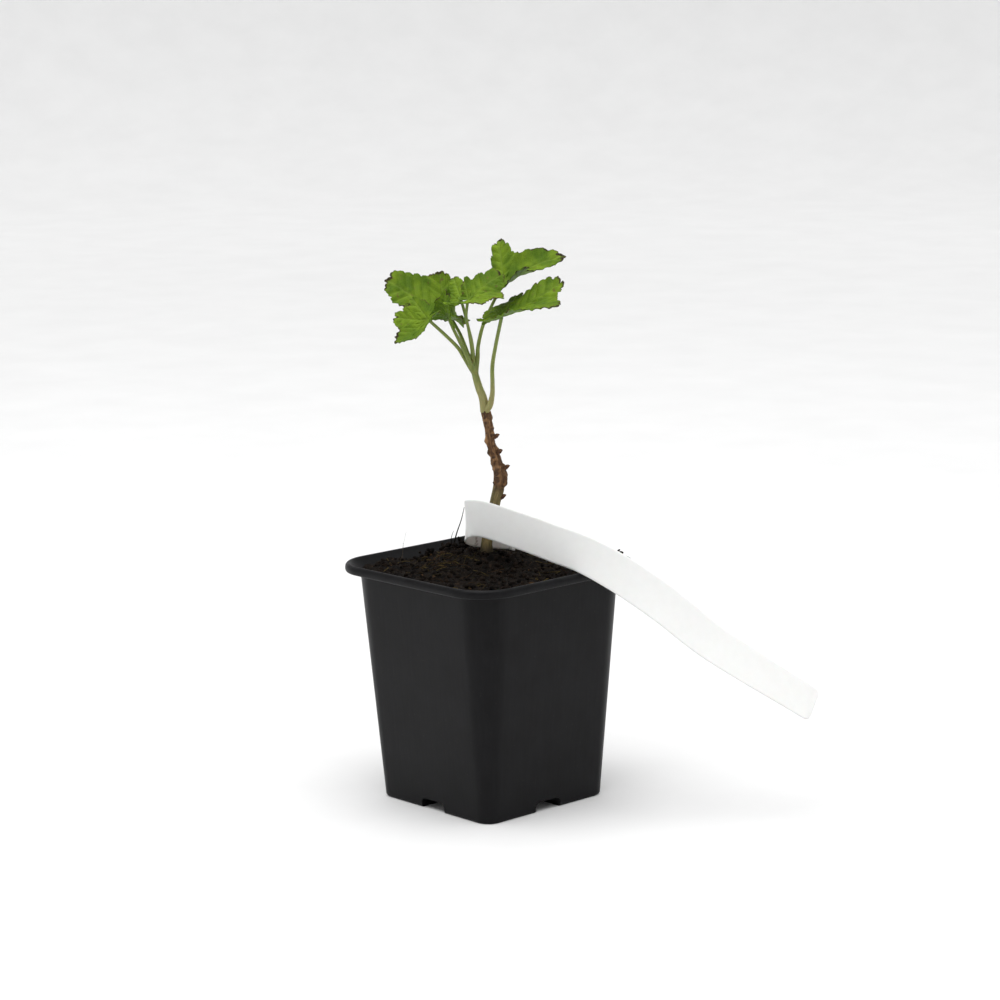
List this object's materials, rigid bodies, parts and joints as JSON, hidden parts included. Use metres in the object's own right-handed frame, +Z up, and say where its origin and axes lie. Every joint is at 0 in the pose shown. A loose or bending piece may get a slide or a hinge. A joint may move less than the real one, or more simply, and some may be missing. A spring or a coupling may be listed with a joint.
{
  "type": "potted currant plant",
  "caption": "Young currant plant with a woody stem and lobed green leaves, in a square black nursery pot with a blank white loop label",
  "frame": {"origin": "Bottom centre of the bounding box, on the ground under the middle of pot and label together. The pot's upright axis is at x -35.16 mm, y -11.14 mm.", "axes": "+Z is up, along the stem. X and Y run along the sides of the square pot. The label hangs over the pot's +X +Y corner side, and the picture was taken from the -Y side, turned 47.44 degrees about Z."},
  "size_m": [0.1604, 0.1122, 0.2197],
  "materials": {
    "black_plastic": "satin",
    "compost": "rough, damp crumbs",
    "old_bark": "rough bark",
    "bud_scale": "dry scales",
    "green_shoot": "smooth, soft sheen",
    "leaf_green": "wrinkled, soft sheen",
    "white_plastic": "satin"
  },
  "bodies": {
    "root": {"pot": "black_plastic", "soil": "compost", "stem": "old_bark", "bud_low": "bud_scale", "bud_knot": "bud_scale", "bud_middle": "bud_scale", "bud_high": "bud_scale", "shoot": "green_shoot", "petiole_left_low": "green_shoot", "petiole_left_front": "green_shoot", "petiole_left_high": "green_shoot", "petiole_back": "green_shoot", "petiole_middle": "green_shoot", "petiole_right_high": "green_shoot", "petiole_right_low": "green_shoot", "leaf_left_high": "leaf_green", "leaf_left_low": "leaf_green", "leaf_left_front": "leaf_green", "leaf_back": "leaf_green", "leaf_middle": "leaf_green", "leaf_right_high": "leaf_green", "leaf_right_low": "leaf_green", "label_loop": "white_plastic", "label_tail": "white_plastic"}
  },
  "joints": []
}
